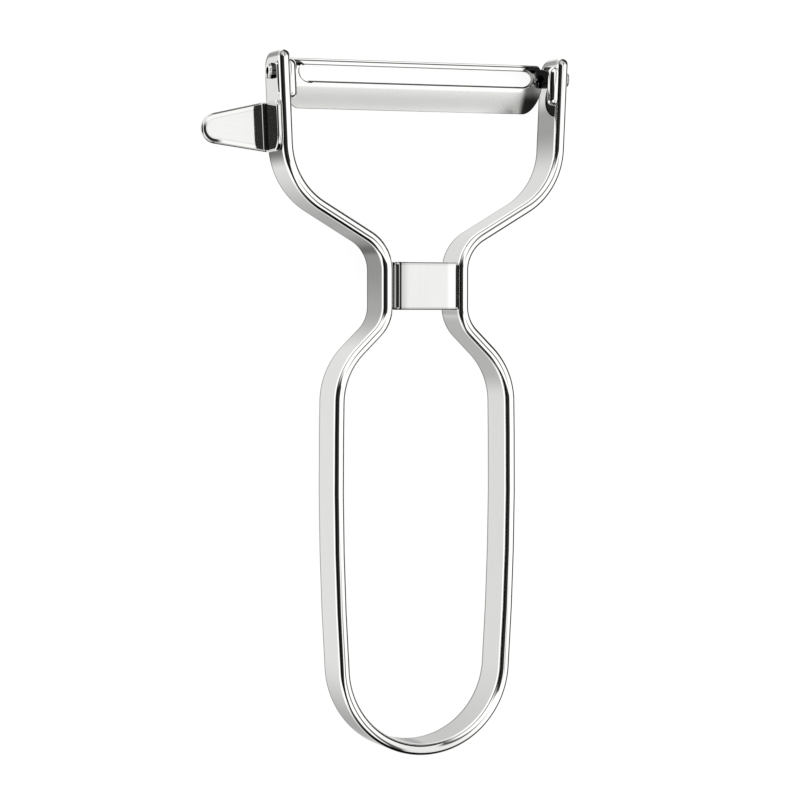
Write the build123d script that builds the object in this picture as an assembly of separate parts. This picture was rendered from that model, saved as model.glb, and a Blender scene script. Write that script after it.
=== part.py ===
from build123d import *
import os
from math import acos, atan2, cos, degrees, hypot, radians, sin, sqrt, tan

os.makedirs("parts", exist_ok=True)

# The peeler lies flat on the rear long edges of its bent strip.
# X runs across, Y from the bottom of the handle loop to the blade, Z is up.
# Lengths are millimetres and angles are degrees.

# Strip frame: one steel strip, bent on a centre line that is the same on both sides
overall_length = 110.0
strip_thickness = 1.8
strip_width = 8.3
strip_edge_land = 0.1
loop_bottom_radius = 13.42
side_x = 14.61
side_height_share = 0.5325
side_bend_share = 0.99
hip_x = 14.21
hip_drop = 7.82
hip_radius = 11.5
waist_x = 6.33
waist_length = 11.61
waist_bottom_radius = 5.8
waist_top_radius = 6.3
shoulder_inset = 0.92
shoulder_rise = 9.56
shoulder_radius = 11.5
arm_tip_x = 23.37
arm_length = 20.77
arm_rear_corner_radius = 3.0
arm_front_corner_radius = 1.2

# Swivel: rolled tongues of the blade turn in a hole through each arm
pivot_below_tip = 3.2
tongue_radius = 1.2
tongue_slit = 0.5
tongue_clearance = 0.05
tongue_proud = 1.07
tongue_root_overlap = 1.2
tongue_root_taper = 1.6
neck_radius = 1.5
neck_end_gap = 0.6

# Stops: a rib pressed inward near the front edge of each arm
stop_length = 6.2
stop_radius = 1.0
stop_height = 1.15
stop_middle_below_tip = 4.5
stop_from_front = 1.4
stop_dent_radius = 0.55
stop_dent_depth = 0.5

# Blade: a thin sheet, bent to an arch with a slot through its crown
blade_end_gap = 0.93
blade_thickness = 0.6
blade_edge_radius = 0.15
blade_side_shift = 0.3
crown_radius = 2.6
crown_set_back = 0.7
crown_drop = 0.2
guide_width = 4.6
guide_tilt = 30.0
guide_corner_x = 2.4
guide_corner_y = 4.4
cutter_width = 0.6
slot_end_land = 1.65
slot_tilt = 9.0
slot_half_angle = 39.0
slot_end_taper = 20.0
facet_end_inset = 1.4
facet_lean = 10.0
facet_height = 0.66
facet_end_run = 1.2
facet_edge_land = 0.04

# Eye remover: a bent tab on the outer face of the left arm
eye_thickness = 0.75
eye_bend_radius = 0.5
eye_rear_gap = 1.3
eye_reach = 11.1
eye_tip_radius = 2.42
eye_height = 8.04
eye_middle_below_tip = 11.7
eye_front_gap = 0.3
eye_top_corner = 1.0
eye_bottom_corner = 2.4
eye_edge_radius = 0.3

# Waist bridge: a folded bracket, with a flange on the left side and a plate across to the right
bridge_thickness = 0.9
bridge_height = 7.5
bridge_rise = 1.91
bridge_set_back = 1.2
bridge_depth = 5.2
bridge_bend_radius = 0.7
bridge_edge_radius = 0.4

# One overrun for all cuts
overrun = 3.0

# Places that follow from the sizes
half_thickness = strip_thickness / 2
strip_edge_radius = (strip_thickness - strip_edge_land) / 2
shoulder_x = arm_tip_x - shoulder_inset
shoulder_y = overall_length - arm_length
waist_top_y = shoulder_y - shoulder_rise
waist_bottom_y = waist_top_y - waist_length
hip_y = waist_bottom_y - hip_drop
side_y = hip_y * side_height_share
arm_lean = atan2(shoulder_inset, arm_length)
pivot_y = overall_length - pivot_below_tip
pivot_z = strip_width / 2
crown_to_pivot = crown_radius + crown_set_back
blade_inner_radius = crown_radius - blade_thickness
blade_middle_radius = crown_radius - blade_thickness / 2


def arm_x(y):
    """Distance from the middle plane to the centre line of an arm."""
    return shoulder_x + (y - shoulder_y) * tan(arm_lean)


blade_length = 2 * (arm_x(pivot_y) - half_thickness - blade_end_gap)
slot_length = blade_length - 2 * slot_end_land
facet_length = slot_length - 2 * facet_end_inset
tongue_half_span = arm_x(pivot_y) + half_thickness + tongue_proud
neck_half_span = arm_x(pivot_y) - half_thickness - neck_end_gap
bridge_bottom_y = waist_bottom_y + bridge_rise


def right_half_path():
    """Centre line of the right half, from the middle of the loop to the arm tip."""
    centre_y = half_thickness + loop_bottom_radius
    reach = hypot(side_x, side_y - centre_y)
    aim = degrees(atan2(side_y - centre_y, side_x))
    touch = aim - degrees(acos(loop_bottom_radius / reach))
    bottom = CenterArc((0, centre_y), loop_bottom_radius, -90, 90 + touch)

    # The side bows out on one long arc that takes up nearly all of the run from the bottom arc
    lower_run = sqrt(reach**2 - loop_bottom_radius**2)
    side_turn = abs(90 + touch - degrees(atan2(hip_y - side_y, hip_x - side_x)))
    side_radius = lower_run * side_bend_share / tan(radians(side_turn / 2))
    corners = [
        bottom @ 1,
        (side_x, side_y),
        (hip_x, hip_y),
        (waist_x, waist_bottom_y),
        (waist_x, waist_top_y),
        (shoulder_x, shoulder_y),
        (arm_tip_x, overall_length),
    ]
    radii = [side_radius, hip_radius, waist_bottom_radius, waist_top_radius, shoulder_radius]
    return bottom + FilletPolyline(*corners, radius=radii)


def stop_rod(side, radius, sunk, length):
    """A round-ended rod along an arm, with its axis at a given depth from the centre line."""
    middle_y = overall_length - stop_middle_below_tip
    place = Location((side * (arm_x(middle_y) + sunk), middle_y, strip_width - stop_from_front))
    turn = Rotation(0, 0, -side * degrees(arm_lean)) * Rotation(90, 0, 0)
    rod = Cylinder(radius, length - 2 * radius)
    for end in (-1, 1):
        rod += Pos(0, 0, end * (length / 2 - radius)) * Sphere(radius)
    return place * turn * rod


def rim_edges(sheet, thickness):
    """Edges along the rim of a bent sheet, without the smooth joins and the lines through it."""
    faces_of = [(face, face.edges()) for face in sheet.faces()]
    rim = []
    for edge in sheet.edges():
        through = edge.geom_type == GeomType.LINE and abs(edge.length - thickness) < thickness / 10
        point = edge @ 0.5
        sides = [face.normal_at(point) for face, edges in faces_of if any(edge.is_same(e) for e in edges)]
        if not through and abs(sides[0].dot(sides[1])) < 0.99:
            rim.append(edge)
    return rim


def make_frame_strip():
    half = right_half_path()
    outline = trace(half + mirror(half, about=Plane.YZ), strip_thickness)
    strip = extrude(outline, strip_width)

    # Round the corners of the arm tips, then the long edges all the way round
    tip_band = overall_length - half_thickness
    rear = [e for e in strip.edges() if e.center().Y > tip_band and e.center().Z < strip_edge_radius]
    strip = fillet(rear, arm_rear_corner_radius)
    front_band = strip_width - strip_edge_radius
    front = [e for e in strip.edges() if e.center().Y > tip_band and e.center().Z > front_band]
    strip = fillet(front, arm_front_corner_radius)
    strip = fillet(rim_edges(strip, strip_thickness), strip_edge_radius)

    # One pivot hole through both arms, and the stops pressed in from outside
    hole_length = 2 * (arm_tip_x + strip_thickness + overrun)
    hole = Pos(0, pivot_y, pivot_z) * Rotation(0, 90, 0)
    strip -= hole * Cylinder(tongue_radius + tongue_clearance, hole_length)
    rib_sunk = -half_thickness - stop_height + stop_radius
    dent_sunk = half_thickness + stop_dent_radius - stop_dent_depth
    dent_length = stop_length - 2 * (stop_radius - stop_dent_radius)
    for side in (-1, 1):
        strip += stop_rod(side, stop_radius, rib_sunk, stop_length)
        strip -= stop_rod(side, stop_dent_radius, dent_sunk, dent_length)
    return strip


def blade_sheet():
    """The bent sheet before it is slotted, with the crown's centre line on the X axis."""
    low = radians(-guide_tilt)
    foot = Vector(sin(low), cos(low)) * blade_middle_radius
    guide_end = foot + Vector(-cos(low), sin(low)) * (guide_width + overrun)
    top = Vector(blade_middle_radius, 0)
    bend = CenterArc((0, 0), blade_middle_radius, 0, 90 + guide_tilt)
    band = Line(guide_end, foot) + bend + Line(top, top - Vector(0, cutter_width))
    sheet = extrude(Plane.YZ * trace(band, blade_thickness), blade_length / 2 + overrun, both=True)

    # The outline, cut square to the guide bar, rounds the guide's two lower corners
    height = guide_width + 2 * crown_radius
    inner_x = blade_length / 2 - guide_corner_x
    outline = Rectangle(2 * inner_x, height, align=(Align.CENTER, Align.MIN))
    upper = Rectangle(blade_length, height - guide_corner_y, align=(Align.CENTER, Align.MIN))
    outline += Pos(0, guide_corner_y) * upper
    for side in (-1, 1):
        outline += Pos(side * inner_x, guide_corner_y) * Ellipse(guide_corner_x, guide_corner_y)
    guide_plane = Plane(origin=(0, 0, 0), x_dir=(1, 0, 0), z_dir=(0, sin(low), cos(low)))
    return sheet & extrude(guide_plane * Pos(0, -guide_width) * outline, height, both=True)


def slot_cut():
    """A round-ended slot whose long walls stand square to the bent sheet."""
    levels = []
    for level in (crown_radius - 2 * blade_thickness, crown_radius + blade_thickness):
        plane = Plane(
            origin=(0, level * sin(radians(slot_tilt)), level * cos(radians(slot_tilt))),
            x_dir=(1, 0, 0),
            z_dir=(0, sin(radians(slot_tilt)), cos(radians(slot_tilt))),
        )
        length = slot_length + 2 * (level - crown_radius) * tan(radians(slot_end_taper))
        levels.append(plane * SlotOverall(length, 2 * level * tan(radians(slot_half_angle))))
    return loft(levels, ruled=True)


def facet_cut():
    """The ground facet that makes the cutting edge on the upper side of the slot."""
    aim = radians(slot_tilt + slot_half_angle)
    lean = radians(facet_lean)
    edge_radius = blade_inner_radius + facet_edge_land
    plane = Plane(
        origin=(0, edge_radius * sin(aim), edge_radius * cos(aim)),
        x_dir=(1, 0, 0),
        z_dir=(0, -sin(lean), cos(lean)),
    )
    spread = facet_end_run / facet_height
    low = -facet_height
    high = 2 * facet_height
    corners = [
        (-facet_length / 2 - low * spread, low),
        (facet_length / 2 + low * spread, low),
        (facet_length / 2 + high * spread, high),
        (-facet_length / 2 - high * spread, high),
    ]
    return extrude(plane * make_face(Polyline(*corners, close=True)), blade_thickness * 2)


def rolled_tongue(side):
    """A sheet tongue rolled to a split tube, with a wider neck that starts on the crown."""
    root = blade_length / 2 - tongue_root_overlap
    axis_start = (side * root, crown_drop, crown_to_pivot)
    plane = Plane(origin=axis_start, x_dir=(0, 0, side), z_dir=(side, 0, 0))
    bore = Circle(tongue_radius - blade_thickness)
    slit = Pos(0, neck_radius) * Rectangle(tongue_slit, 2 * neck_radius)
    neck = extrude(plane * (Circle(neck_radius) - bore - slit), neck_half_span - root)
    tube = neck + extrude(plane * (Circle(tongue_radius) - bore - slit), tongue_half_span - root)

    # The roll opens towards its root, so only its rear wall runs onto the sheet
    low = crown_to_pivot - tongue_radius + blade_thickness
    high = crown_to_pivot + neck_radius + overrun
    rise = tongue_root_taper * (high - low) / (2 * tongue_radius)
    corners = [
        (side * (root - overrun), low),
        (side * root, low),
        (side * (root + rise), high),
        (side * (root - overrun), high),
    ]
    wedge = extrude(Plane.XZ * make_face(Polyline(*corners, close=True)), overall_length, both=True)
    return tube - wedge


def make_swivel_blade():
    sheet = blade_sheet()
    sheet = fillet(rim_edges(sheet, blade_thickness), blade_edge_radius)
    sheet -= slot_cut()
    sheet -= facet_cut()
    for side in (-1, 1):
        sheet += rolled_tongue(side)
    return Pos(blade_side_shift, pivot_y - crown_drop, pivot_z - crown_to_pivot) * sheet


def make_eye_remover():
    rear_z = eye_rear_gap + eye_thickness / 2
    front_z = strip_width - eye_front_gap
    mid_x = -eye_thickness / 2
    bend = eye_bend_radius + eye_thickness / 2
    band = FilletPolyline((mid_x, front_z), (mid_x, rear_z), (-eye_reach, rear_z), radius=bend)
    tab = extrude(Plane.XZ * trace(band, eye_thickness), eye_height / 2, both=True)

    # The outline from the front: a wide root that tapers to a round tip
    root = Line((0, -eye_height / 2), (0, eye_height / 2))
    tip = Pos(eye_tip_radius - eye_reach, 0) * Circle(eye_tip_radius)
    tab &= extrude(make_hull([root, *tip.edges()]), strip_width)

    # Two front corners, the lower one rounder, and a small radius all the way round
    for side, radius in ((1, eye_top_corner), (-1, eye_bottom_corner)):
        front = [e for e in tab.edges() if e.center().Z > front_z - eye_edge_radius]
        through = [e for e in front if abs(e.center().X - mid_x) < eye_edge_radius]
        tab = fillet([e for e in through if side * e.center().Y > 0], radius)
    tab = fillet(rim_edges(tab, eye_thickness), eye_edge_radius)

    # The place on the leaning left arm
    middle_y = overall_length - eye_middle_below_tip
    root_x = -arm_x(middle_y) - half_thickness / cos(arm_lean)
    return Location((root_x, middle_y, 0), (0, 0, degrees(arm_lean))) * tab


def make_waist_bridge():
    side_face_x = waist_x - half_thickness
    flange_x = bridge_thickness / 2 - side_face_x
    front_z = strip_width - bridge_set_back - bridge_thickness / 2
    back_z = strip_width - bridge_set_back - bridge_depth
    corners = [(flange_x, back_z), (flange_x, front_z), (side_face_x, front_z)]
    band = FilletPolyline(*corners, radius=bridge_bend_radius + bridge_thickness / 2)
    bracket = extrude(Plane.XZ * trace(band, bridge_thickness), bridge_height / 2, both=True)

    # The right end stays square, because it butts against the right side
    free_x = side_face_x - bridge_edge_radius
    free = [e for e in rim_edges(bracket, bridge_thickness) if e.center().X < free_x]
    bracket = fillet(free, bridge_edge_radius)
    return Pos(0, bridge_bottom_y + bridge_height / 2, 0) * bracket


# Every node moves together, so the origin is under the middle of the whole peeler
nodes = {
    "frame_strip": make_frame_strip(),
    "waist_bridge": make_waist_bridge(),
    "eye_remover": make_eye_remover(),
    "swivel_blade": make_swivel_blade(),
}
boxes = [node.bounding_box() for node in nodes.values()]
low = [min(b.min.X for b in boxes), min(b.min.Y for b in boxes), min(b.min.Z for b in boxes)]
high = [max(b.max.X for b in boxes), max(b.max.Y for b in boxes)]
shift = Pos(-(low[0] + high[0]) / 2, -(low[1] + high[1]) / 2, -low[2])
for name, node in nodes.items():
    export_step(shift * node, f"parts/{name}.step")
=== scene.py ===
import bmesh
import bpy
import math
from collections import namedtuple
from mathutils import Vector, Matrix


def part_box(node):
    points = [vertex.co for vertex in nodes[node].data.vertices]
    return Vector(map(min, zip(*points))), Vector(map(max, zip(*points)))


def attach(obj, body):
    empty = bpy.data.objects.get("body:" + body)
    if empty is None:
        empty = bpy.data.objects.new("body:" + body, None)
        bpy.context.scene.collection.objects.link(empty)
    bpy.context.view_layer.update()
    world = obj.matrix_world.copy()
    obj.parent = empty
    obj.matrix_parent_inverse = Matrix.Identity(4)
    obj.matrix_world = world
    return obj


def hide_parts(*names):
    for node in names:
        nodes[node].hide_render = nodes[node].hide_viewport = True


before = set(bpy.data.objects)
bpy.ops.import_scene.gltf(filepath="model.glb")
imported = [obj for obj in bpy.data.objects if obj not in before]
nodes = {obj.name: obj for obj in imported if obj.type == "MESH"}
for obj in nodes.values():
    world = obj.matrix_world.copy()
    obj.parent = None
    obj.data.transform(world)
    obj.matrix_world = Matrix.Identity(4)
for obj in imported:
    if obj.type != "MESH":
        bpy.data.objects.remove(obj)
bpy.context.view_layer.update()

# Sizes are written in millimetres, with x from the middle plane, y from the bottom of the loop and z up
MM = 0.001
low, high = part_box("frame_strip")
shift = Vector(((low.x + high.x) / 2, low.y, low.z))

# The bent strip, on the centre line and with the section of the solid
STRIP_THICKNESS = 1.8
STRIP_WIDTH = (high.z - low.z) / MM
EDGE_RADIUS = 0.85
BOTTOM_RADIUS = 13.42
SIDE = Vector((14.61, 32.08))
HIP = Vector((14.21, 60.24))
WAIST_BOTTOM = Vector((6.33, 68.06))
WAIST_TOP = Vector((6.33, 79.67))
SHOULDER = Vector((22.45, 89.23))
TIP = Vector((23.37, 110.0))
SIDE_BEND_SHARE = 0.99
HIP_RADIUS = 11.5
WAIST_BOTTOM_RADIUS = 5.8
WAIST_TOP_RADIUS = 6.3
SHOULDER_RADIUS = 11.5
REAR_CORNER = 3.0
FRONT_CORNER = 1.2
ARM_LEAN = math.atan2(TIP.x - SHOULDER.x, TIP.y - SHOULDER.y)

# What is punched and pressed into the arms
PIVOT_BELOW_TIP = 3.2
PIVOT_Z = 4.15
HOLE_RADIUS = 1.25
HOLE_LENGTH = 4 * TIP.x
RIB_LENGTH = 6.2
RIB_RADIUS = 1.0
RIB_HEIGHT = 1.15
RIB_BELOW_TIP = 4.5
RIB_FROM_FRONT = 1.4
DENT_RADIUS = 0.55
DENT_DEPTH = 0.5

# How finely the strip is drawn
STATION_STEP = 1.0
TURN_STEP = math.radians(1.5)
ROUND_STEPS = 9
CORNER_STEPS = 16
FLAT_STEPS = 6
EDGE_SUPPORT = 0.04
ROD_SEGMENTS = 32
HOLE_SEGMENTS = 64
WELD_DISTANCE = 1e-4
SHARP_ANGLE = math.radians(35)

# The camera, with its roll in radians and its focal length in pixels of the photo
CAMERA_EYE = (-166.97, 70.36, 434.93)
CAMERA_TARGET = (-1.561, 55.663, 0.5)
CAMERA_ROLL = 0.0011
FOCAL_LENGTH = 2931.1
PHOTO_WIDTH = 800
SENSOR_WIDTH = 36
CLIP_METRES = (0.01, 10)

# The floor: its reach in metres, its grey, and the glow that whitens it for the camera
FLOOR_REACH = 3.0
FLOOR_GREY = 0.88
FLOOR_GLOW = 1.12
FLOOR_GLOW_SHARE = 0.8

# A ramp goes softly from low to high while a value goes from start to end
Ramp = namedtuple("Ramp", "start end low high", defaults=(0.0, 1.0))

# A dip is one, but lower by depth between full and fade, with soft sides that begin at start and end
Dip = namedtuple("Dip", "start full fade end depth")

# The three parts of a place on a piece, in millimetres, or of a direction of length one in the world
Axes = namedtuple("Axes", "x y z")

# What all the steels share: drawn lines, faint clouds, what both add on the whole, and a little less blue
LINE_SHARE = 0.05
LINE_DETAIL = 3.0
LINE_DEPTH = 0.0004
CLOUD_SHARE = 0.03
CLOUD_DETAIL = 2.0
CLOUD_SIZE = (5.0, 7.0, 3.0)
ADDED_LEVEL = 0.035
BLUE_SHARE = 0.978

# Painted shade and darker reflections on the strip's wide faces, left and right, then on its front, and a
# painted dark line along its rear rim
WIDE_FROM_REAR = Ramp(0.3, 0.9)
WIDE_TO_FRONT = Ramp(7.15, 7.5, 1.0, 0.0)
LEFT_HALF = Ramp(-1.0, 1.0, 1.0, 0.0)
LEFT_BOTTOM = Ramp(2.0, 16.0, 0.42, 1.0)
LEFT_WAIST = Dip(63.0, 70.0, 83.0, 93.0, 0.5)
LEFT_BELOW_CREASE = Dip(68.0, 77.0, 80.0, 82.0, 0.35)
LEFT_CREASE = Dip(78.3, 79.1, 79.4, 80.4, 0.6)
LEFT_SHADOW_UNDER_TAB = Dip(91.6, 94.2, 95.0, 95.3, 0.85)
RIGHT_HALF = Ramp(-1.0, 1.0)
RIGHT_BOTTOM = Ramp(1.0, 16.0, 0.76, 0.95)
RIGHT_HIP = Dip(56.0, 60.0, 68.0, 70.0, 0.38)
RIGHT_CREASE = Dip(68.9, 69.5, 70.0, 70.2, 0.4)
RIGHT_SHOULDER = Dip(91.5, 98.5, 101.0, 104.0, 0.6)
WIDE_SHADE_SHARE = 0.72
FRONT_FACE = Ramp(7.3, 7.7)
FRONT_BOTTOM = Ramp(0.6, 5.0, 0.74, 1.0)
RIM_LINE = Dip(0.3, 0.5, 0.95, 1.2, 0.45)

# Painted shade and reflections on the blade: painted shade on the guide bar, beside its roughness, a painted
# dark right end with a painted sheen, painted dark lines along the upper edges and round the left end of the
# slot, and a painted shadow at the left pin
GUIDE_BELLY = Dip(100.6, 102.7, 103.0, 105.3, 0.22)
GUIDE_ROUGHNESS = Ramp(105.0, 104.5, 0.0, 0.2)
RIGHT_END = Ramp(18.2, 19.3)
RIGHT_END_SHEEN = Ramp(103.4, 104.8, 0.05, 0.3)
BETWEEN_ENDS = Ramp(19.2, 19.6, 1.0, 0.0)
SLOT_EDGE_LINE = Dip(108.0, 108.06, 108.18, 108.28, 0.85)
FACET_LINE = Dip(108.60, 108.68, 108.84, 108.90, 0.75)
TOP_EDGE = Ramp(109.0, 109.12, 1.0, 0.25)
SLOT_END_X = -17.35
SLOT_END_Y = 106.92
SLOT_END_LENGTH = 2.1
SLOT_END_HEIGHT = 1.62
SLOT_END_LINE = Dip(0.94, 0.98, 1.06, 1.1, 0.9)
LEFT_OF_SLOT = Ramp(-17.0, -17.3)
BELOW_SLOT_EDGE = Ramp(107.4, 107.9, 1.0, 0.0)
PIN_SHADOW = Dip(-24.62, -24.5, -23.6, -23.5, 0.92)

# The outline of the eye remover, as in the solid
EYE_MIDDLE_BELOW_TIP = 11.7
EYE_REACH = 11.1
EYE_HEIGHT = 8.04
EYE_TIP_RADIUS = 2.42

# Painted shade on the eye remover, by distance out along the tongue, up from its middle and in from its rim
TONGUE = Ramp(1.4, 1.6)
ROUND_TIP = Ramp(9.0, 9.2)
EYE_RIM_SHADE = Dip(0.76, 0.86, 0.92, 1.02, 0.18)
INSIDE_RIM = Ramp(0.8, 1.1, 1.0, 0.94)
CRESCENT = Dip(0.26, 0.36, 0.7, 0.8, 0.98)
CRESCENT_OUT = Ramp(7.6, 8.8)
CRESCENT_DOWN = Ramp(1.4, 0.2)

# Painted shade darkening the bridge's plate towards its bend and painted light brightening its right end,
# painted dark lines at the folds at its left end, and faint painted lines along its edges
PLATE_LEFT = Ramp(-3.9, -2.4, 0.62, 0.86)
PLATE_RIGHT = Ramp(3.7, 4.3, 1.0, 1.2)
OUTER_FOLD = Dip(-5.6, -5.5, -4.96, -4.88, 0.98)
MIDDLE_FOLD = Dip(-4.68, -4.64, -4.56, -4.5, 0.8)
INNER_FOLD = Dip(-4.16, -4.1, -3.86, -3.8, 0.96)
UPPER_LINE = Dip(76.9, 77.0, 77.1, 77.2, 0.18)
LOWER_LINE = Dip(70.15, 70.25, 70.35, 70.45, 0.2)

# The lamp tent that the steel mirrors, by direction or, for the opening, the glimmer and the seam, in degrees
OPENING_SIDE = Ramp(-10.0, -4.0, 1.0, 0.0)
OPENING_ROUND = Ramp(0.0, 8.0)
OPENING_SPREAD = 1.5
OPENING_HALF_WIDTH = 0.08
OPENING_GLIMMER = Ramp(-80.0, -12.0, 0.0, 0.035)
SEAM = Dip(-3.0, 4.0, 13.0, 20.0, 0.9)
SEAM_OFF_MIDDLE = Ramp(0.06, 0.14)
BRIM = Ramp(0.24, 0.42)
BRIM_RISE_BELOW = Ramp(-0.5, -0.9, 0.0, 0.14)
BRIM_RISE_ABOVE = Ramp(0.1, 0.5, 0.0, 0.22)
BRIM_RISE_RIGHT = Ramp(0.1, 0.5)
REAR_LEFT = Ramp(-0.15, 0.2, 1.0, 0.0)
REAR_ABOVE = Ramp(0.2, 0.6)
REAR_OFF_LEVEL = Ramp(0.04, 0.22)

# The table round the object that the steel mirrors, the gap between it and the tent, and the level of both
TABLE_EDGE = Ramp(-0.9, -0.6, -0.26, -0.48)
TABLE_SOFT_EDGE = Ramp(0.08, -0.08)
TABLE_CORNER_RISE = 0.3
TABLE_CORNER_LEFT = Ramp(-0.1, -0.4)
TABLE_CORNER_BELOW = Ramp(-0.2, -0.5)
TABLE_END_BELOW = Ramp(-0.5, -0.8)
TABLE_END_OUTSIDE = Ramp(-0.93, -0.85)
GAP_GLOW = Ramp(0.16, -0.2, 0.0, 0.09)
GAP_GLOW_ABOVE = Ramp(-0.95, -0.75)
UNDER_OBJECT = Ramp(-0.80, -0.92, 1.0, 0.66)
MIRRORED_LEVEL = 1.35
MIRRORED_DARK = 0.002


def place(x, y, z):
    """The point in the scene, in metres, for a place in millimetres."""
    return Vector((x, y, z)) * MM + shift


def make_camera():
    eye = place(*CAMERA_EYE)
    back = (eye - place(*CAMERA_TARGET)).normalized()
    level_right = Vector((0, 1, 0)).cross(back).normalized()
    level_up = back.cross(level_right)
    right = level_right * math.cos(CAMERA_ROLL) + level_up * math.sin(CAMERA_ROLL)
    up = level_up * math.cos(CAMERA_ROLL) - level_right * math.sin(CAMERA_ROLL)
    data = bpy.data.cameras.new("camera")
    data.sensor_width = SENSOR_WIDTH
    data.lens = SENSOR_WIDTH * FOCAL_LENGTH / PHOTO_WIDTH
    data.clip_start, data.clip_end = CLIP_METRES
    camera = bpy.data.objects.new("camera", data)
    camera.matrix_world = Matrix((
        (right.x, up.x, back.x, eye.x),
        (right.y, up.y, back.y, eye.y),
        (right.z, up.z, back.z, eye.z),
        (0, 0, 0, 1),
    ))
    bpy.context.scene.collection.objects.link(camera)
    bpy.context.scene.camera = camera


def arc(centre, radius, start, turn):
    """Stations on an arc: a point and the direction of travel at each."""
    count = max(2, math.ceil(abs(turn) / TURN_STEP))
    side = math.copysign(math.pi / 2, turn)
    stations = []
    for i in range(count + 1):
        angle = start + turn * i / count
        stations.append((centre + Vector((math.cos(angle), math.sin(angle))) * radius, angle + side))
    return stations


def rounded_corner(before, corner, after, radius):
    """Stations on the arc that rounds a corner between two others."""
    into = corner - before
    out = after - corner
    start_aim = math.atan2(into.y, into.x)
    turn = math.remainder(math.atan2(out.y, out.x) - start_aim, math.tau)
    reach = radius * math.tan(abs(turn) / 2)
    start = corner - into.normalized() * reach
    side = math.copysign(math.pi / 2, turn)
    centre = start + Vector((math.cos(start_aim + side), math.sin(start_aim + side))) * radius
    return arc(centre, radius, start_aim - side, turn)


def straight(last, target, stop_short):
    """Stations between the last one and a target, without either end."""
    way = target - last[0]
    length = way.length - stop_short
    count = math.ceil(length / STATION_STEP)
    return [(last[0] + way.normalized() * length * i / count, last[1]) for i in range(1, count)]


def round_steps(radius, count):
    """Distances from the start of a quarter circle, up to its radius, for equal turns."""
    return [radius * (1 - math.cos(math.pi / 2 * i / count)) for i in range(count + 1)]


def strip_stations():
    """Stations of the right half of the centre line, from the middle of the loop to the arm tip."""
    centre = Vector((0, STRIP_THICKNESS / 2 + BOTTOM_RADIUS))
    reach = (SIDE - centre).length
    aim = math.atan2(SIDE.y - centre.y, SIDE.x)
    touch = aim - math.acos(BOTTOM_RADIUS / reach)
    bottom = arc(centre, BOTTOM_RADIUS, -math.pi / 2, math.pi / 2 + touch)
    lower_run = math.sqrt(reach**2 - BOTTOM_RADIUS**2)
    side_turn = abs(math.pi / 2 + touch - math.atan2(HIP.y - SIDE.y, HIP.x - SIDE.x))
    side_radius = lower_run * SIDE_BEND_SHARE / math.tan(side_turn / 2)
    corners = [bottom[-1][0], SIDE, HIP, WAIST_BOTTOM, WAIST_TOP, SHOULDER, TIP]
    radii = [side_radius, HIP_RADIUS, WAIST_BOTTOM_RADIUS, WAIST_TOP_RADIUS, SHOULDER_RADIUS]

    # Straight stretches get stations too, and the arm ends in closely set ones
    stations = list(bottom)
    for i, radius in enumerate(radii):
        bend = rounded_corner(*corners[i:i + 3], radius)
        stations += straight(stations[-1], bend[0][0], 0)
        stations += bend
    stations += straight(stations[-1], TIP, REAR_CORNER)
    end_aim = stations[-1][1]
    travel = Vector((math.cos(end_aim), math.sin(end_aim)))
    corner_steps = round_steps(REAR_CORNER, CORNER_STEPS)
    edge_steps = round_steps(EDGE_RADIUS, ROUND_STEPS)[:-1]
    for left in sorted({*corner_steps, *edge_steps, FRONT_CORNER}, reverse=True):
        stations.append((TIP - travel * left, end_aim))
    return stations


def rim_distance(left, z):
    """Distance from the rim of the flat strip, at a length left to the tip and a height."""
    for corner, from_edge in ((REAR_CORNER, z), (FRONT_CORNER, STRIP_WIDTH - z)):
        if left < corner and from_edge < corner:
            return corner - math.hypot(corner - left, corner - from_edge)
    return min(left, z, STRIP_WIDTH - z)


def half_thickness_at(left, z):
    """Half the strip's thickness at a length left to the tip and a height, thinner over the round edge."""
    land = STRIP_THICKNESS / 2 - EDGE_RADIUS
    inside = max(0, min(EDGE_RADIUS, rim_distance(left, z)))
    return land + math.sqrt(EDGE_RADIUS**2 - (EDGE_RADIUS - inside)**2)


def corner_end(corner, left):
    """How far a rounded corner has eaten into the width at a length left to the tip."""
    if left >= corner:
        return 0
    return corner - math.sqrt(corner**2 - (corner - left)**2)


def strip_section(left):
    """Offsets from the centre line and heights, once round the strip."""
    rear = corner_end(REAR_CORNER, left)
    front = STRIP_WIDTH - corner_end(FRONT_CORNER, left)
    near = round_steps(EDGE_RADIUS, ROUND_STEPS)
    near.append(EDGE_RADIUS + EDGE_SUPPORT)
    flat = STRIP_WIDTH - 2 * near[-1]
    middle = [near[-1] + flat * i / FLAT_STEPS for i in range(1, FLAT_STEPS)]
    heights = near + middle + [STRIP_WIDTH - d for d in reversed(near)]
    heights = [rear + (front - rear) * z / STRIP_WIDTH for z in heights]
    outer = [(half_thickness_at(left, z), z) for z in heights]
    return outer + [(-half, z) for half, z in reversed(outer)]


def arm_x(y):
    """The centre line of the right arm."""
    return SHOULDER.x + (y - SHOULDER.y) * math.tan(ARM_LEAN)


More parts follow.
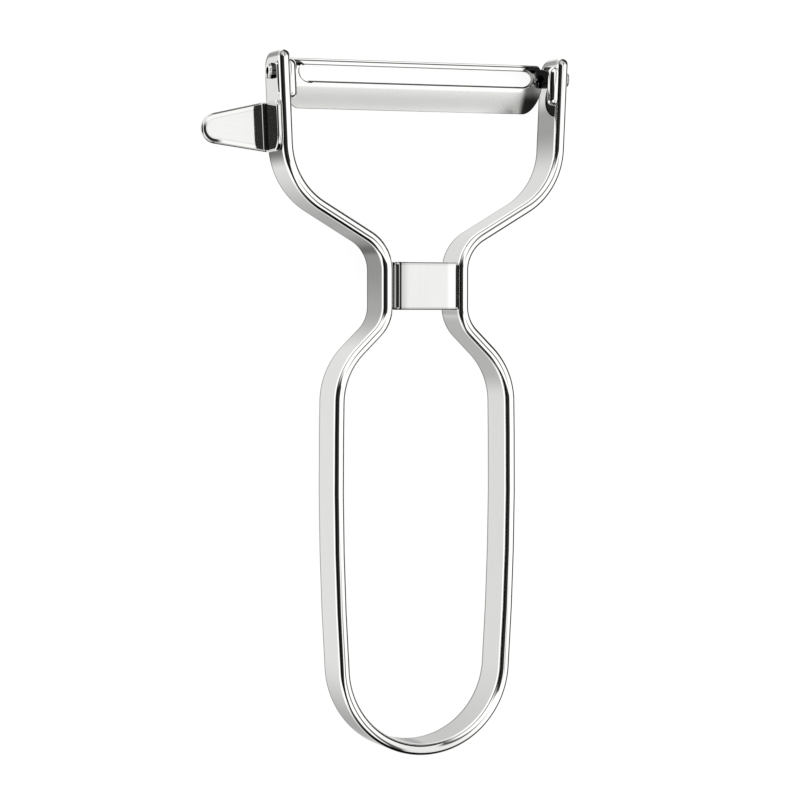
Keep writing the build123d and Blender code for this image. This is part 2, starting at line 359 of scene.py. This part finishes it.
def rod(bm, side, radius, outside, length):
    """A round-ended rod along an arm, with its axis a given distance outside the centre line."""
    middle_y = TIP.y - RIB_BELOW_TIP
    middle_x = side * (arm_x(middle_y) + outside)
    middle = Vector((middle_x, middle_y, STRIP_WIDTH - RIB_FROM_FRONT))
    along = Vector((side * math.sin(ARM_LEAN), math.cos(ARM_LEAN), 0))
    across = Vector((math.cos(ARM_LEAN), -side * math.sin(ARM_LEAN), 0))
    quarter = ROD_SEGMENTS // 4
    profile = []
    for i in range(quarter + 1):
        turn = math.pi / 2 * i / quarter
        profile.append((length / 2 - radius * (1 - math.cos(turn)), radius * math.sin(turn)))
    profile += [(-reach, size) for reach, size in reversed(profile)]
    rings = []
    for reach, size in profile:
        ring = []
        for i in range(ROD_SEGMENTS):
            turn = math.tau * i / ROD_SEGMENTS
            outward = across * math.cos(turn) + Vector((0, 0, math.sin(turn)))
            ring.append(bm.verts.new(place(*(middle + along * reach + outward * size))))
        rings.append(ring)
    join_rings(bm, rings)
    bmesh.ops.remove_doubles(bm, verts=rings[0] + rings[-1], dist=MM * WELD_DISTANCE)


def join_rings(bm, rings):
    """Faces between each ring of points and the next."""
    for ring, following in zip(rings, rings[1:]):
        for i in range(len(ring)):
            j = (i + 1) % len(ring)
            bm.faces.new((ring[i], ring[j], following[j], following[i]))


def finished(bm, name, material=None):
    """An object of a finished mesh, with its normals outwards."""
    bmesh.ops.recalc_face_normals(bm, faces=bm.faces)
    mesh = bpy.data.meshes.new(name)
    bm.to_mesh(mesh)
    bm.free()
    mesh.shade_smooth()
    if material:
        mesh.materials.append(material)
    made = bpy.data.objects.new(name, mesh)
    bpy.context.scene.collection.objects.link(made)
    return made


def bent_strip(material):
    """The strip before it is punched, ring by ring from the left tip to the right one."""
    half = strip_stations()
    lengths = [0.0]
    for (last, _), (point, _) in zip(half, half[1:]):
        lengths.append(lengths[-1] + (point - last).length)
    bm = bmesh.new()
    rings = []
    for side in (-1, 1):
        order = list(zip(half, lengths))
        if side < 0:
            order = order[:0:-1]
        for (point, aim), length in order:
            outward = Vector((math.sin(aim), -math.cos(aim)))
            ring = []
            for offset, z in strip_section(lengths[-1] - length):
                spot = point + outward * offset
                ring.append(bm.verts.new(place(side * spot.x, spot.y, z)))
            rings.append(ring)
    join_rings(bm, rings)
    bm.faces.new(reversed(rings[0]))
    bm.faces.new(rings[-1])
    return finished(bm, "strip_body", material)


def punched_mesh(strip):
    """The strip's mesh with both pivot holes and the dents behind the ribs cut into it."""
    cutter = bmesh.new()
    pivot = Matrix.Translation(place(0, TIP.y - PIVOT_BELOW_TIP, PIVOT_Z))
    bmesh.ops.create_cone(
        cutter, cap_ends=True, segments=HOLE_SEGMENTS, radius1=HOLE_RADIUS * MM, radius2=HOLE_RADIUS * MM,
        depth=HOLE_LENGTH * MM, matrix=pivot @ Matrix.Rotation(math.pi / 2, 4, "Y"),
    )
    dent_outside = STRIP_THICKNESS / 2 + DENT_RADIUS - DENT_DEPTH
    dent_length = RIB_LENGTH - 2 * (RIB_RADIUS - DENT_RADIUS)
    for side in (-1, 1):
        rod(cutter, side, DENT_RADIUS, dent_outside, dent_length)
    cut = finished(cutter, "strip_cutter")
    modifier = strip.modifiers.new("cut", "BOOLEAN")
    modifier.operation = "DIFFERENCE"
    modifier.solver = "EXACT"
    modifier.object = cut
    mesh = bpy.data.meshes.new_from_object(strip.evaluated_get(bpy.context.evaluated_depsgraph_get()))
    strip.modifiers.remove(modifier)
    bpy.data.objects.remove(cut)
    return mesh


def make_strip(material):
    strip = bent_strip(material)
    mesh = punched_mesh(strip)

    # The ribs are laid on last
    rib_outside = RIB_RADIUS - RIB_HEIGHT - STRIP_THICKNESS / 2
    bm = bmesh.new()
    bm.from_mesh(mesh)
    for side in (-1, 1):
        rod(bm, side, RIB_RADIUS, rib_outside, RIB_LENGTH)
    bm.to_mesh(mesh)
    bm.free()
    mesh.shade_smooth()
    mesh.set_sharp_from_angle(angle=SHARP_ANGLE)
    mesh.name = "strip_body"
    strip.data = mesh
    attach(strip, "frame")
    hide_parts("frame_strip")


class Graph:
    """Short calls that add nodes to one node tree."""

    def __init__(self, tree):
        self.tree = tree
        self.tree.nodes.clear()

    def node(self, kind, inputs=(), **settings):
        made = self.tree.nodes.new(kind)
        for key, value in settings.items():
            setattr(made, key, value)
        for key, value in dict(inputs).items():
            self.put(made.inputs[key], value)
        return made

    def put(self, socket, value):
        if isinstance(value, bpy.types.NodeSocket):
            self.tree.links.new(value, socket)
        else:
            socket.default_value = value

    def math(self, operation, *values):
        made = self.node("ShaderNodeMath", operation=operation)
        for socket, value in zip(made.inputs, values):
            self.put(socket, value)
        return made.outputs[0]

    def product(self, first, *others):
        for other in others:
            first = self.math("MULTIPLY", first, other)
        return first

    def linear(self, offset, *terms):
        """The offset plus each term's value times its rate."""
        total = offset
        for value, rate in terms:
            total = self.math("MULTIPLY_ADD", value, rate, total)
        return total

    def distance(self, first, second):
        squares = self.math("MULTIPLY_ADD", first, first, self.product(second, second))
        return self.math("SQRT", squares)

    def ramp(self, value, ramp):
        made = self.node("ShaderNodeMapRange", interpolation_type="SMOOTHSTEP")
        for socket, item in zip(made.inputs, (value, *ramp)):
            self.put(socket, item)
        return made.outputs[0]

    def dip(self, value, dip):
        rise = self.ramp(value, Ramp(dip.start, dip.full))
        fall = self.ramp(value, Ramp(dip.fade, dip.end, 1.0, 0.0))
        return self.linear(1.0, (self.product(rise, fall), -dip.depth))

    def dips(self, value, *dips):
        return self.product(*(self.dip(value, dip) for dip in dips))

    def mix(self, share, first, second):
        return self.node("ShaderNodeMix", {0: share, 2: first, 3: second}).outputs[0]

    def where(self, share, level):
        """The level where the share is one, and one where the share is zero."""
        return self.mix(share, 1.0, level)

    def split(self, vector):
        return Axes(*self.node("ShaderNodeSeparateXYZ", {0: vector}).outputs)

    def spot(self):
        """The place on the piece in millimetres, as the sizes above are written."""
        metres = self.node("ShaderNodeTexCoord").outputs["Object"]
        moved = self.node("ShaderNodeVectorMath", {0: metres, 1: -shift}, operation="ADD").outputs[0]
        return self.node("ShaderNodeVectorMath", {0: moved, "Scale": 1 / MM}, operation="SCALE").outputs[0]

    def noise(self, spot, stretch, detail):
        """Noise from 0 to 1 with its own grain size along each axis, in millimetres."""
        rate = tuple(1 / size for size in stretch)
        scaled = self.node("ShaderNodeVectorMath", {0: spot, 1: rate}, operation="MULTIPLY").outputs[0]
        return self.node("ShaderNodeTexNoise", {"Vector": scaled, "Scale": 1.0, "Detail": detail}).outputs[0]


def steel(name, level, roughness, grain, painted_shade, ground=None):
    """Bare steel: a mirror with fine drawn lines, faint clouds, painted shade and reflections by place, and
    ground places of its own.
    """
    material = bpy.data.materials.new(name)
    material.use_nodes = True
    g = Graph(material.node_tree)
    spot = g.spot()
    at = g.split(spot)
    lines = g.noise(spot, grain, LINE_DETAIL)
    clouds = g.noise(spot, CLOUD_SIZE, CLOUD_DETAIL)
    share = painted_shade(g, at)
    bare = g.linear(level - ADDED_LEVEL, (lines, LINE_SHARE), (clouds, CLOUD_SHARE))
    grey = g.product(bare, share)
    color = g.node("ShaderNodeCombineColor", {0: grey, 1: grey, 2: g.product(grey, BLUE_SHARE)}).outputs[0]
    rough = g.linear(roughness / 2, (lines, roughness))
    if ground:
        rough = g.math("ADD", rough, ground(g, at))
    bump = {"Strength": 1.0, "Distance": LINE_DEPTH * MM, "Height": lines}

    # The painted shade also goes to the tint, or it would fade where the surface turns away
    tint = g.node("ShaderNodeCombineColor", {0: share, 1: share, 2: share}).outputs[0]
    shader = g.node("ShaderNodeBsdfPrincipled", {
        "Base Color": color,
        "Metallic": 1.0,
        "Roughness": rough,
        "Specular Tint": tint,
        "Normal": g.node("ShaderNodeBump", bump).outputs[0],
    })
    g.node("ShaderNodeOutputMaterial", {0: shader.outputs[0]})
    return material


def strip_painted_shade(g, at):
    """Painted shade at bends and ends on the wide faces and on the front, standing for mirrored floor shadow,
    and a painted dark line along the rear rim and the tip.
    """
    wide = g.product(g.ramp(at.z, WIDE_FROM_REAR), g.ramp(at.z, WIDE_TO_FRONT))
    left = g.dips(at.y, LEFT_WAIST, LEFT_CREASE, LEFT_BELOW_CREASE, LEFT_SHADOW_UNDER_TAB)
    left = g.product(left, g.ramp(at.y, LEFT_BOTTOM))
    right = g.dips(at.y, RIGHT_HIP, RIGHT_CREASE, RIGHT_SHOULDER)
    right = g.product(right, g.ramp(at.y, RIGHT_BOTTOM))
    tones = []
    for half, painted_shade in ((LEFT_HALF, left), (RIGHT_HALF, right)):
        softened = g.linear(1 - WIDE_SHADE_SHARE, (painted_shade, WIDE_SHADE_SHARE))
        tones.append(g.where(g.product(wide, g.ramp(at.x, half)), softened))
    front = g.where(g.ramp(at.z, FRONT_FACE), g.ramp(at.y, FRONT_BOTTOM))

    # The painted dark line is straight along the rear edge and turns round the rear corner to the tip
    past_corner = g.math("MAXIMUM", g.linear(REAR_CORNER - TIP.y, (at.y, 1.0)), 0.0)
    to_rear = g.math("MAXIMUM", g.linear(REAR_CORNER, (at.z, -1.0)), 0.0)
    from_rim = g.linear(REAR_CORNER, (g.distance(past_corner, to_rear), -1.0))
    return g.product(*tones, front, g.dip(from_rim, RIM_LINE))


def blade_painted_shade(g, at):
    """Painted shade on the guide bar's belly, a painted dark reflection at the right end, a painted shadow at
    the left pin, and painted dark lines along the edges.
    """
    right_end = g.where(g.ramp(at.x, RIGHT_END), g.ramp(at.y, RIGHT_END_SHEEN))
    between = g.ramp(g.math("ABSOLUTE", at.x), BETWEEN_ENDS)
    slot_edge = g.where(between, g.dip(at.y, SLOT_EDGE_LINE))
    out = g.math("DIVIDE", g.linear(-SLOT_END_X, (at.x, 1.0)), SLOT_END_LENGTH)
    up = g.math("DIVIDE", g.linear(-SLOT_END_Y, (at.y, 1.0)), SLOT_END_HEIGHT)
    at_slot_end = g.product(g.ramp(at.x, LEFT_OF_SLOT), g.ramp(at.y, BELOW_SLOT_EDGE))
    slot_end = g.where(at_slot_end, g.dip(g.distance(out, up), SLOT_END_LINE))
    lines = g.product(slot_edge, g.dip(at.y, FACET_LINE), g.ramp(at.y, TOP_EDGE), slot_end)
    return g.product(g.dip(at.y, GUIDE_BELLY), right_end, lines, g.dip(at.x, PIN_SHADOW))


def guide_ground(g, at):
    """The guide bar of the blade is ground, so it mirrors the arms only softly."""
    return g.ramp(at.y, GUIDE_ROUGHNESS)


def eye_painted_shade(g, at):
    """A painted dark line, the shade of a rolled rim, follows the outline of the tongue, and a painted dark
    crescent of shade lies on the lower side of its tip.
    """
    middle_y = TIP.y - EYE_MIDDLE_BELOW_TIP
    root_x = -arm_x(middle_y) - STRIP_THICKNESS / 2 / math.cos(ARM_LEAN)
    leftward = g.linear(root_x, (at.x, -1.0))
    upward = g.linear(-middle_y, (at.y, 1.0))
    out = g.linear(0.0, (leftward, math.cos(ARM_LEAN)), (upward, -math.sin(ARM_LEAN)))
    up = g.linear(0.0, (upward, math.cos(ARM_LEAN)), (leftward, math.sin(ARM_LEAN)))

    # The two sides of the outline run from the ends of the root to the round tip and touch it
    half_height = EYE_HEIGHT / 2
    tip_middle = EYE_REACH - EYE_TIP_RADIUS
    aim_to_tip = math.atan2(tip_middle, half_height)
    taper = math.acos(EYE_TIP_RADIUS / math.hypot(half_height, tip_middle)) - aim_to_tip
    below_side = g.linear(half_height, (g.math("ABSOLUTE", up), -1.0))
    from_sides = g.linear(0.0, (below_side, math.cos(taper)), (out, -math.sin(taper)))
    past_middle = g.linear(-tip_middle, (out, 1.0))
    from_tip = g.linear(EYE_TIP_RADIUS, (g.distance(past_middle, up), -1.0))
    inside = g.mix(g.ramp(out, ROUND_TIP), from_sides, from_tip)
    rim = g.product(g.dip(inside, EYE_RIM_SHADE), g.ramp(inside, INSIDE_RIM))
    shaded = g.product(g.ramp(out, CRESCENT_OUT), g.ramp(up, CRESCENT_DOWN))
    crescent = g.where(shaded, g.dip(inside, CRESCENT))
    return g.where(g.ramp(out, TONGUE), g.product(rim, crescent))


def bridge_painted_shade(g, at):
    """Painted shade darkens the plate towards its bend and painted light brightens its right end; painted
    dark lines follow the folds, and faint ones its edges.
    """
    plate = g.product(g.ramp(at.x, PLATE_LEFT), g.ramp(at.x, PLATE_RIGHT))
    folds = g.dips(at.x, OUTER_FOLD, MIDDLE_FOLD, INNER_FOLD)
    return g.product(plate, folds, g.dips(at.y, UPPER_LINE, LOWER_LINE))


def tent_light(g, to):
    """A lamp tent over the object, with a seam, and with a dark opening at -X, on the camera's side."""
    across = g.math("DEGREES", g.math("ARCTAN2", to.x, to.z))
    off_middle = g.math("ABSOLUTE", to.y)
    beside = g.math("MAXIMUM", g.linear(-OPENING_HALF_WIDTH, (off_middle, 1.0)), 0.0)
    leftward = g.math("MAXIMUM", g.product(to.x, -1.0), 0.0)
    aside = g.math("DEGREES", g.math("ARCTAN2", beside, leftward))
    fallen = g.math("DEGREES", g.math("ARCCOSINE", to.z))
    from_top = g.linear(fallen, (aside, -OPENING_SPREAD))
    opening = g.product(g.ramp(across, OPENING_SIDE), g.ramp(from_top, OPENING_ROUND))
    seam = g.where(g.ramp(off_middle, SEAM_OFF_MIDDLE), g.dip(across, SEAM))

    # The brim of the tent rises at -Y, and where +X and +Y meet
    above = g.product(g.ramp(to.x, BRIM_RISE_RIGHT), g.ramp(to.y, BRIM_RISE_ABOVE))
    rise = g.math("MAXIMUM", g.ramp(to.y, BRIM_RISE_BELOW), above)
    brim = g.ramp(g.linear(to.z, (rise, -1.0)), BRIM)
    cloth = g.product(brim, g.linear(1.0, (opening, -1.0)), seam)
    tent = g.linear(cloth, (opening, g.ramp(across, OPENING_GLIMMER)))

    # At +Y, but not at +X, the light goes on below the brim and leaves a dark line at eye level
    off_level = g.ramp(g.math("ABSOLUTE", to.z), REAR_OFF_LEVEL)
    rear = g.product(g.ramp(to.x, REAR_LEFT), g.ramp(to.y, REAR_ABOVE), off_level)
    return g.math("MAXIMUM", tent, rear)


def table_light(g, to):
    """A lit table below the object, which reaches highest where -X and -Y meet and ends early at -Y."""
    corner = g.product(g.ramp(to.x, TABLE_CORNER_LEFT), g.ramp(to.y, TABLE_CORNER_BELOW))
    edge = g.linear(g.ramp(to.x, TABLE_EDGE), (corner, TABLE_CORNER_RISE))
    table = g.ramp(g.linear(to.z, (edge, -1.0)), TABLE_SOFT_EDGE)
    past_end = g.product(g.ramp(to.y, TABLE_END_BELOW), g.ramp(to.z, TABLE_END_OUTSIDE))
    return g.product(table, g.linear(1.0, (past_end, -1.0)))


def make_world():
    """Even light, white for the camera, and bands of light and dark for what the steel mirrors."""
    world = bpy.data.worlds.new("studio")
    bpy.context.scene.world = world
    world.use_nodes = True
    world.cycles.sampling_method = "NONE"
    g = Graph(world.node_tree)
    to = g.split(g.node("ShaderNodeTexCoord").outputs["Generated"])
    glow = g.product(g.ramp(to.y, GAP_GLOW_ABOVE), g.ramp(to.z, GAP_GLOW))
    light = g.math("MAXIMUM", g.math("MAXIMUM", tent_light(g, to), table_light(g, to)), glow)
    shaded = g.product(light, g.ramp(to.z, UNDER_OBJECT))
    mirrored = g.linear(MIRRORED_DARK, (shaded, MIRRORED_LEVEL))
    level = g.where(g.node("ShaderNodeLightPath").outputs["Is Glossy Ray"], mirrored)
    background = g.node("ShaderNodeBackground", {"Color": (1, 1, 1, 1), "Strength": level})
    g.node("ShaderNodeOutputWorld", {0: background.outputs[0]})


def make_floor():
    """A pale floor that the camera sees nearly white and the steel doesn't mirror."""
    mesh = bpy.data.meshes.new("floor")
    corners = [(-1, -1), (1, -1), (1, 1), (-1, 1)]
    mesh.from_pydata([(x * FLOOR_REACH, y * FLOOR_REACH, 0) for x, y in corners], [], [(0, 1, 2, 3)])
    floor = bpy.data.objects.new("floor", mesh)
    bpy.context.scene.collection.objects.link(floor)
    floor.visible_glossy = False
    material = bpy.data.materials.new("floor")
    material.use_nodes = True
    g = Graph(material.node_tree)
    matt = g.node("ShaderNodeBsdfDiffuse", {"Color": (FLOOR_GREY, FLOOR_GREY, FLOOR_GREY, 1)})
    glow = g.node("ShaderNodeEmission", {"Strength": FLOOR_GLOW})
    share = g.product(g.node("ShaderNodeLightPath").outputs["Is Camera Ray"], FLOOR_GLOW_SHARE)
    both = g.node("ShaderNodeMixShader", {0: share, 1: matt.outputs[0], 2: glow.outputs[0]})
    g.node("ShaderNodeOutputMaterial", {0: both.outputs[0]})
    mesh.materials.append(material)


strip_steel = steel("strip_steel", level=0.80, roughness=0.04, grain=(6.0, 6.0, 0.25), painted_shade=strip_painted_shade)
bridge_steel = steel("bridge_steel", level=0.74, roughness=0.05, grain=(0.4, 6.0, 2.0), painted_shade=bridge_painted_shade)
eye_steel = steel("eye_steel", level=0.70, roughness=0.05, grain=(2.0, 0.5, 2.0), painted_shade=eye_painted_shade)
blade_steel = steel(
    "blade_steel", level=0.80, roughness=0.05, grain=(8.0, 0.3, 0.3), painted_shade=blade_painted_shade, ground=guide_ground,
)
sheets = {"waist_bridge": bridge_steel, "eye_remover": eye_steel, "swivel_blade": blade_steel}
make_strip(strip_steel)
for name, material in sheets.items():
    nodes[name].data.materials.clear()
    nodes[name].data.materials.append(material)
make_world()
make_floor()
make_camera()
bpy.context.scene.view_settings.view_transform = "Standard"
